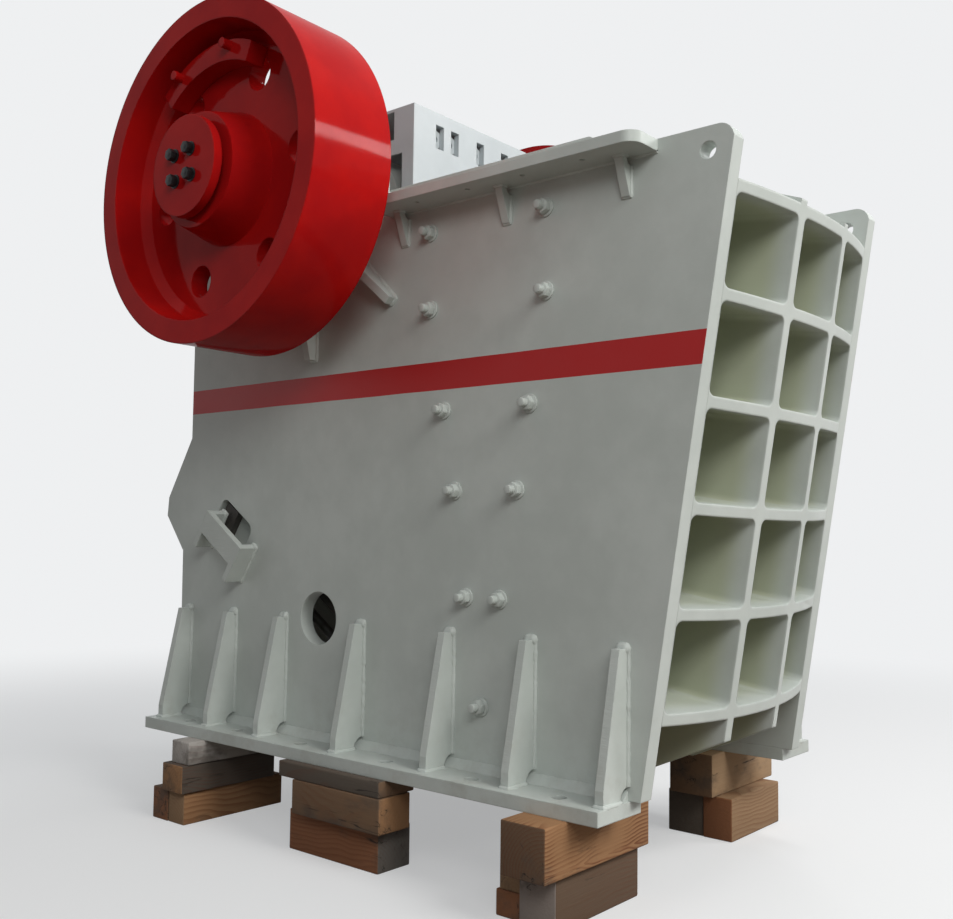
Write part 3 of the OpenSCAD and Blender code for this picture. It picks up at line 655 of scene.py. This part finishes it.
fasteners = fastener_tree()
print("fastener tree with", len(fasteners.nodes), "nodes")

# %% [markdown]
# A tree grows on a seed, which is a mesh of bare points or edges. The modifier could stay on
# the seed, but a plain mesh can be checked and exported as it is. So the modifier's inputs are
# set by their identifiers, its result is kept as a plain mesh, and the seed is thrown away.

# %% Growing pieces from seeds
ROUND_EDGE = math.radians(40)


def grown(name, seed_mesh, tree, finish, body, slot, bevel=0.0, **sizes):
    """Runs a tree on a seed mesh and keeps the result as a plain piece."""
    seed = bpy.data.objects.new(name + " seed", seed_mesh)
    bpy.context.scene.collection.objects.link(seed)
    modifier = seed.modifiers.new("grow", "NODES")
    modifier.node_group = tree
    names = {s.name: s.identifier for s in tree.interface.items_tree if s.in_out == "INPUT"}
    modifier[names["Finish"]] = finish
    for label, value in sizes.items():
        modifier[names[label.replace("_", " ")]] = value
    if bevel:
        arris = seed.modifiers.new("arris", "BEVEL")
        arris.width = bevel
        arris.segments = 2
        arris.limit_method = "ANGLE"
        arris.angle_limit = ROUND_EDGE
    bpy.context.view_layer.update()
    mesh = bpy.data.meshes.new_from_object(seed.evaluated_get(bpy.context.evaluated_depsgraph_get()))
    bpy.data.objects.remove(seed)
    mesh.shade_smooth()
    mesh.set_sharp_from_angle(angle=SHARP_EDGE)
    made = piece(name, mesh, finish, body)
    print(name, sum(len(p.vertices) - 2 for p in mesh.polygons), "triangles")
    return made


def seeds(name, places):
    """Points that carry the turn of what stands on them, from (point, outward axis, spin)."""
    mesh = bpy.data.meshes.new(name)
    mesh.from_pydata([p for p, _, _ in places], [], [])
    turns = mesh.attributes.new("turn", "FLOAT_VECTOR", "POINT")
    for number, (_, outward, spin) in enumerate(places):
        stand = Vector(outward).to_track_quat("Z", "Y").to_matrix()
        turns.data[number].vector = (stand @ Matrix.Rotation(spin, 3, "Z")).to_euler()
    return mesh


# %% [markdown]
# Studs hold the cheek plates inside the chamber. Their nuts show in two rows on both side
# plates. An even grid would be shorter to write, but the real rows follow the jaws and close
# in towards the discharge. So they are listed from the top down, each with its rear stud, its
# front stud and its height. No two nuts stopped at the same turn.

# %% Cheek plate studs
MACHINE_MIDDLE = 0.1525
STUD_ROWS = [(0.365, 1.001, 2.768), (0.372, 1.005, 2.422), (0.458, 0.928, 1.968),
             (0.528, 0.865, 1.616), (0.598, 0.782, 1.165), (0.687, 0.687, 0.718)]
near_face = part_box("near_side_plate")[0].y
far_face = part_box("far_side_plate")[1].y
SIXTH_OF_A_TURN = 1.05
draw = random.Random(7)
for side, face, out in (("near", near_face, -1), ("far", far_face, 1)):
    spots = {(x - MACHINE_MIDDLE, z) for rear, front, z in STUD_ROWS for x in (rear, front)}
    places = [((x, face, z), (0, out, 0), draw.uniform(0, SIXTH_OF_A_TURN)) for x, z in sorted(spots)]
    grown(side + "_cheek_studs", seeds(side + " studs", places), fasteners, cream, "frame",
          "cream_paint", bevel=0.002)

# %% [markdown]
# Four black hexagon bolts press the end cap on the shaft. They could be modelled once and
# copied, but the tree of the studs only needs other sizes, and four points a quarter turn
# apart. They turn with the wheel, so they ride on the rotor.

# %% Shaft cap bolts
BOLT_CIRCLE = 0.083
BOLT_FIRST = math.radians(49.5)
for side, out in (("near", -1), ("far", 1)):
    low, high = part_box(side + "_shaft_cap")
    middle = (low + high) / 2
    face = low.y if out < 0 else high.y
    places = []
    for quarter in range(4):
        angle = BOLT_FIRST + quarter * math.pi / 2
        spot = (middle.x + BOLT_CIRCLE * math.cos(angle), face, middle.z + BOLT_CIRCLE * math.sin(angle))
        places.append((spot, (0, out, 0), draw.uniform(0, SIXTH_OF_A_TURN)))
    grown(side + "_cap_bolts", seeds(side + " bolts", places), fasteners, black_steel, "rotor",
          "bare_steel", bevel=0.002, Washer_Radius=0.031, Washer_Height=0.005, Hexagon_Radius=0.0265,
          Hexagon_Height=0.030, Stud_Radius=0.011, Stud_Height=0.001)

# %% [markdown]
# The machine is welded from thick plate, and a bead runs along each joint. A bump on the
# plate would vanish against the outline, so a bead is a line swept with a small round section
# whose radius swells and shrinks as in hand work. A section of four sides makes the large
# fillet that fills the corner over each foot.

# %% Tree of a weld bead
RIPPLE = 0.007
SWELL = 0.009
SWELLS_A_METRE = 55.0


def bead_tree():
    sizes = {"Ripple": RIPPLE, "Swell": SWELL, "Sides": 10.0, "Finish": None}
    chain = Chain(new_tree("weld bead", sizes))
    given = chain.inputs
    lines = chain.add("GeometryNodeMeshToCurve", None, Mesh=given["Geometry"])
    fine = chain.add("GeometryNodeResampleCurve", {"mode": "LENGTH"}, Curve=lines[0], Length=given["Ripple"])
    noise = chain.add("ShaderNodeTexNoise", None, Scale=SWELLS_A_METRE, Detail=2.0)
    size = chain.add("GeometryNodeInputNamedAttribute", {"data_type": "FLOAT"}, Name="size")
    wavy = chain.maths("MULTIPLY", chain.maths("SUBTRACT", noise[0], 0.5), given["Swell"])
    swell = chain.maths("ADD", size[0], wavy)
    ring = chain.add("GeometryNodeCurvePrimitiveCircle", None, Resolution=given["Sides"],
                     Radius=1.0)
    swept = chain.add("GeometryNodeCurveToMesh", None, Curve=fine[0], Profile_Curve=ring[0],
                      Scale=swell, Fill_Caps=True)
    real = chain.add("GeometryNodeRealizeInstances", None, Geometry=swept[0])
    dressed = chain.add("GeometryNodeSetMaterial", None, Geometry=real[0], Material=given["Finish"])
    chain.tree.links.new(dressed[0], chain.end)
    return chain.tree


beads = bead_tree()
print("bead tree with", len(beads.nodes), "nodes")

# %% [markdown]
# A real bead keeps one size along an edge, and leaves a lump where it turns over a top.
# Two trees could make the two, but one is enough if the size is stored on the points. So a run
# is a list of points, each with the bead's radius there, and the runs of a side become one
# mesh of bare edges, which is the seed of that side's beads.

# %% Runs of beads
BEAD = 0.011
THINNEST = 0.002


def bead(points, size=BEAD):
    """A run of one size: its points, each with the bead's size there."""
    return [(tuple(point), size) for point in points]


def lump(start, end, size, steps=12):
    """A run that swells from nothing to its size and back, with full round ends."""
    marks = [2 * step / steps - 1 for step in range(steps + 1)]
    return [(tuple(Vector(start).lerp(Vector(end), (mark + 1) / 2)),
             max(size * math.sqrt(1 - mark ** 4), THINNEST)) for mark in marks]


def line_mesh(name, runs):
    """Edges along runs, joined where they meet, each point with its bead's size."""
    places, edges = {}, []
    for run in runs:
        row = []
        for point, size in run:
            key = (*(round(v, 4) for v in point), size)
            row.append(places.setdefault(key, len(places)))
        edges += list(zip(row, row[1:]))
    mesh = bpy.data.meshes.new(name)
    mesh.from_pydata([key[:3] for key in places], edges, [])
    sizes = [key[3] for key in places]
    mesh.attributes.new("size", "FLOAT", "POINT").data.foreach_set("value", sizes)
    return mesh


# %% [markdown]
# Brackets and ribs have odd outlines, and gussets are near to plain boxes with a relief at
# their inner foot. All seams could be found as edges on the plate, but the gussets' beads also
# leave the plate and run out along the foot. So the odd ones are welded along every edge in
# which they meet the plate, and the gussets along the box of each.

# %% Runs of each joint
SMALL_BEAD = 0.0088
LUMP = 0.023
LUMP_PAST = 0.013
ON_THE_PLATE = 0.0008
RELIEF = 0.052
GUSSET_FOOT = 0.165
LEDGE_RELIEF = 0.032


def seam_runs(name, face):
    """Runs along the edges in which a piece meets the side plate."""
    work = flat_faced_copy(name)
    on_plate = [e for e in work.edges if all(abs(v.co.y - face) < ON_THE_PLATE for v in e.verts)]
    runs = [bead([v.co for v in e.verts]) for e in on_plate]
    work.free()
    return runs


def gusset_runs(low, high, face, out):
    """Beads of one foot gusset: up the plate, a lump over its top, and along its foot."""
    tip = face + out * GUSSET_FOOT
    inner = face + out * RELIEF
    foot = low.z + RELIEF
    return [bead([(low.x, face, foot), (low.x, face, high.z), (high.x, face, high.z),
                  (high.x, face, foot)]),
            lump((low.x - LUMP_PAST, face, high.z), (high.x + LUMP_PAST, face, high.z), LUMP),
            bead([(low.x, inner, low.z), (low.x, tip, low.z), (high.x, tip, low.z),
                  (high.x, inner, low.z)])]


def ledge_gusset_runs(low, high, face, out):
    """Beads of one ledge gusset: down the plate on both sides and out along the ledge."""
    top = high.z - LEDGE_RELIEF
    tip = low.y if out < 0 else high.y
    inner = face + out * LEDGE_RELIEF
    return [bead([(low.x, face, top), (low.x, face, low.z), (high.x, face, low.z),
                  (high.x, face, top)], SMALL_BEAD),
            bead([(low.x, inner, high.z), (low.x, tip, high.z), (high.x, tip, high.z),
                  (high.x, inner, high.z)], SMALL_BEAD)]


print("edges of a bracket on the plate", len(seam_runs("near_wedge_bracket", near_face)))

# %% [markdown]
# Each side gets its beads as one piece, with a fine one under the ledge, and its foot fillet
# as another, which runs through the gussets' reliefs just as the real one does.

# %% Welds of both sides
LEDGE_BEAD = 0.007
FOOT_WELD = 0.037
FILLET_END = 0.01
for side, face, out in (("near", near_face, -1), ("far", far_face, 1)):
    runs = seam_runs(side + "_wedge_bracket", face) + seam_runs(side + "_bearing_ribs", face)
    for low, high in solid_boxes(side + "_foot_gussets"):
        runs += gusset_runs(low, high, face, out)
    for low, high in solid_boxes(side + "_ledge_gussets"):
        runs += ledge_gusset_runs(low, high, face, out)
    ledge_low, ledge_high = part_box(side + "_top_ledge")
    runs.append(bead([(ledge_low.x, face, ledge_low.z), (ledge_high.x, face, ledge_low.z)],
                     LEDGE_BEAD))
    grown(side + "_weld_beads", line_mesh(side + " welds", runs), beads, cream, "frame", "cream_paint")
    foot_low, foot_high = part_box(side + "_foot_flange")
    rear_end = max(foot_low.x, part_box(side + "_side_plate")[0].x)
    corner = bead([(rear_end + FILLET_END, face, foot_high.z),
                   (foot_high.x - FILLET_END, face, foot_high.z)], FOOT_WELD)
    grown(side + "_foot_fillet", line_mesh(side + " foot corner", [corner]), beads, cream, "frame",
          "cream_paint", Sides=4.0)

# %% [markdown]
# Two long springs behind the machine pull the toggle plate against its seats. The frame holds
# a plain tube in the place of each, and here a coil of round wire stands for it. A screw
# modifier could turn one, but a spiral curve swept with a circle has its turns and its length
# as plain inputs. It is stood on the tube's lower end and turned along the rod.

# %% Tension springs
COIL_R = 0.046
WIRE_R = 0.0085
TURNS = 8.0
ROD_SLOPE = math.radians(34)


def coil_tree():
    sizes = {"Coil Radius": COIL_R, "Wire Radius": WIRE_R, "Turns": TURNS, "Length": 0.2, "Finish": None}
    chain = Chain(new_tree("coil spring", sizes))
    given = chain.inputs
    spiral = chain.add("GeometryNodeCurveSpiral", None, Resolution=40, Rotations=given["Turns"],
                       Start_Radius=given["Coil Radius"], End_Radius=given["Coil Radius"],
                       Height=given["Length"])
    ring = chain.add("GeometryNodeCurvePrimitiveCircle", None, Resolution=10, Radius=given["Wire Radius"])
    wire = chain.add("GeometryNodeCurveToMesh", None, Curve=spiral[0], Profile_Curve=ring[0],
                     Fill_Caps=True)
    turn = chain.add("GeometryNodeInputNamedAttribute", {"data_type": "FLOAT_VECTOR"}, Name="turn")
    spin = chain.add("FunctionNodeEulerToRotation", None, Euler=turn[0])
    stood = chain.add("GeometryNodeInstanceOnPoints", None, Points=given["Geometry"],
                      Instance=wire[0], Rotation=spin[0])
    real = chain.add("GeometryNodeRealizeInstances", None, Geometry=stood[0])
    dressed = chain.add("GeometryNodeSetMaterial", None, Geometry=real[0], Material=given["Finish"])
    chain.tree.links.new(dressed[0], chain.end)
    return chain.tree


def coil_ends(name, along):
    """A place at the lower end of each tube in a node, and the length between their ends."""
    work = merged_copy(name)
    places = []
    for group in islands(work):
        points = [v.co for face in group for v in face.verts]
        middle = sum(points, Vector()) / len(points)
        reach = [(p - middle).dot(along) for p in points]
        places.append((tuple(middle + along * (min(reach) + WIRE_R)), tuple(along), 0.0))
        length = max(reach) - min(reach) - 2 * WIRE_R
    work.free()
    return places, length


up_the_rod = Vector((-math.cos(ROD_SLOPE), 0, math.sin(ROD_SLOPE)))
places, coil_length = coil_ends("tension_springs", up_the_rod)
coils = grown("tension_coils", seeds("coil ends", places), coil_tree(), oiled_steel, "frame",
              "bare_steel", Length=coil_length)
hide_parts("tension_springs")

# %% [markdown]
# Each bearing housing is held down on the frame by one large bolt through each of its lugs.
# The housing's box could place them, but none of its corners lies on a lug. So the bolts are
# placed from the middle of the shaft's cap, which marks the shaft, with larger sizes in the
# same tree.

# %% Bearing bolts
LUG_BOLT_OUT = 0.366
LUG_HEIGHT = 0.075
lug_bolts = []
for side, face in (("near", near_face), ("far", far_face)):
    shaft = (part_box(side + "_shaft_cap")[0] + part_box(side + "_shaft_cap")[1]) / 2
    for reach in (-LUG_BOLT_OUT, LUG_BOLT_OUT):
        lug_bolts.append(((shaft.x + reach, face, shaft.z + LUG_HEIGHT), (0, 0, 1),
                          draw.uniform(0, SIXTH_OF_A_TURN)))
grown("bearing_bolts", seeds("bearing bolts", lug_bolts), fasteners, cream, "frame", "cream_paint",
      bevel=0.003, Washer_Radius=0.058, Washer_Height=0.012, Hexagon_Radius=0.048,
      Hexagon_Height=0.050, Stud_Radius=0.026, Stud_Height=0.026)

# %% [markdown]
# The studio is a wide pale floor that fades into an equally pale backdrop. It could be plain
# white, but would then light the undersides, which are nearly black on the real machine. So
# the camera and every mirror see a pale floor, and the light that bounces off it is that of a
# dark one.

# %% Floor
BACKDROP = (0.86, 0.87, 0.88)
FLOOR_SEEN = (0.84, 0.84, 0.84)
FLOOR_BOUNCE = (0.15, 0.115, 0.090)
FLOOR_SIZE = 60.0
# the floor lies a hair under the timbers, so that the two never share one plane
FLOOR_DROP = 0.0005
# the floor's own glow grows from this share near the machine to all of it far off
GLOW_NEAR = 0.45
FADE_FROM = 3.2
FADE_TO = 9.0


def pale_floor():
    bench = Bench("pale studio floor", Roughness=0.85)
    spread = bench.maths("SQRT", bench.x * bench.x + bench.y * bench.y)
    light = bench.node("ShaderNodeLightPath")
    seen = bench.maths("MAXIMUM", Wire(bench, light.outputs["Is Camera Ray"]),
                       bench.maths("MAXIMUM", Wire(bench, light.outputs["Is Glossy Ray"]),
                                   Wire(bench, light.outputs["Is Transmission Ray"])))
    colour = bench.mix(seen, FLOOR_BOUNCE, FLOOR_SEEN)
    bench.set(Base_Color=colour)
    glow = bench.node("ShaderNodeEmission", None, (*BACKDROP, 1), 1.0)
    share = GLOW_NEAR + spread.limit(FADE_FROM, FADE_TO) * (1 - GLOW_NEAR)
    blend = bench.node("ShaderNodeMixShader", None, seen * share)
    bench.tree.links.new(bench.shader.outputs[0], blend.inputs[1])
    bench.tree.links.new(glow.outputs[0], blend.inputs[2])
    end = next(n for n in bench.tree.nodes if n.type == "OUTPUT_MATERIAL")
    bench.tree.links.new(blend.outputs[0], end.inputs["Surface"])
    return bench.material


floor_mesh = bpy.data.meshes.new("floor")
half = FLOOR_SIZE / 2
floor_mesh.from_pydata([(-half, -half, 0), (half, -half, 0), (half, half, 0), (-half, half, 0)], [],
                       [(0, 1, 2, 3)])
floor = bpy.data.objects.new("floor", floor_mesh)
bpy.context.scene.collection.objects.link(floor)
floor_mesh.materials.append(pale_floor())
floor.location.z = -FLOOR_DROP
print("floor", FLOOR_SIZE, "m wide")


# %% [markdown]
# A soft light comes evenly from all around. A picture of real surroundings could give it, but
# its colours would show in the gloss. So two plain backgrounds are blended: the camera and
# every mirror see the backdrop, and everything else is lit by a pale blue sky.

# %% Sky
def sky(strength):
    """An even sky for light, seen as the pale backdrop."""
    world = bpy.data.worlds.new("studio sky")
    bpy.context.scene.world = world
    world.use_nodes = True
    nodes, links = world.node_tree.nodes, world.node_tree.links
    nodes.clear()
    path = nodes.new("ShaderNodeLightPath")
    seen = nodes.new("ShaderNodeMath")
    seen.operation = "MAXIMUM"
    links.new(path.outputs["Is Camera Ray"], seen.inputs[0])
    mirrored = nodes.new("ShaderNodeMath")
    mirrored.operation = "MAXIMUM"
    links.new(path.outputs["Is Glossy Ray"], mirrored.inputs[0])
    links.new(path.outputs["Is Transmission Ray"], mirrored.inputs[1])
    links.new(mirrored.outputs[0], seen.inputs[1])
    light = nodes.new("ShaderNodeBackground")
    light.inputs["Color"].default_value = (0.93, 0.97, 1.0, 1)
    light.inputs["Strength"].default_value = strength
    shown = nodes.new("ShaderNodeBackground")
    shown.inputs["Color"].default_value = (*BACKDROP, 1)
    blend = nodes.new("ShaderNodeMixShader")
    links.new(seen.outputs[0], blend.inputs[0])
    links.new(light.outputs[0], blend.inputs[1])
    links.new(shown.outputs[0], blend.inputs[2])
    end = nodes.new("ShaderNodeOutputWorld")
    links.new(blend.outputs[0], end.inputs[0])
    return world


print("sky", sky(strength=0.23).name)

# %% [markdown]
# The plates fade from front to rear, the cells stay soft and the wheel has a narrow bright
# band. One lamp could give one of these, but not all three. So four area lamps stand around
# the machine as windows would: a large soft one high at the front, a small one that fills the
# flywheel's side, a long one overhead, and one beyond the front on the far side. That last one
# shows in gloss as the bright band on the wheel's rim, and the one at the side adds to it.

# %% Lamps
def lamp(name, place, aim, width, height, watts, colour, mirrored=False):
    data = bpy.data.lights.new(name, "AREA")
    data.shape = "RECTANGLE"
    data.size = width
    data.size_y = height
    data.energy = watts
    data.color = colour
    made = bpy.data.objects.new(name, data)
    bpy.context.scene.collection.objects.link(made)
    made.visible_glossy = mirrored
    made.location = place
    made.rotation_euler = (Vector(aim) - Vector(place)).to_track_quat("-Z", "Y").to_euler()
    return made


lamp("front windows", (13.0, -1.5, 10.5), (0.6, 0, 1.6), 7.0, 6.0, 1450, (1.0, 0.99, 0.96))
lamp("side windows", (5.5, -6.0, 5.6), (0.6, -0.7, 1.8), 3.5, 2.5, 165, (1.0, 1.0, 0.99), mirrored=True)
lamp("roof light", (1.5, 4.5, 10.0), (-0.5, -1.0, 3.0), 7.0, 1.2, 300, (0.97, 0.99, 1.0))
lamp("rim windows", (8.0, 6.5, 7.4), (0.2, -1.185, 3.03), 3.4, 1.7, 330, (1.0, 0.99, 0.99), mirrored=True)
bpy.context.scene.view_settings.view_transform = "Standard"

# %% [markdown]
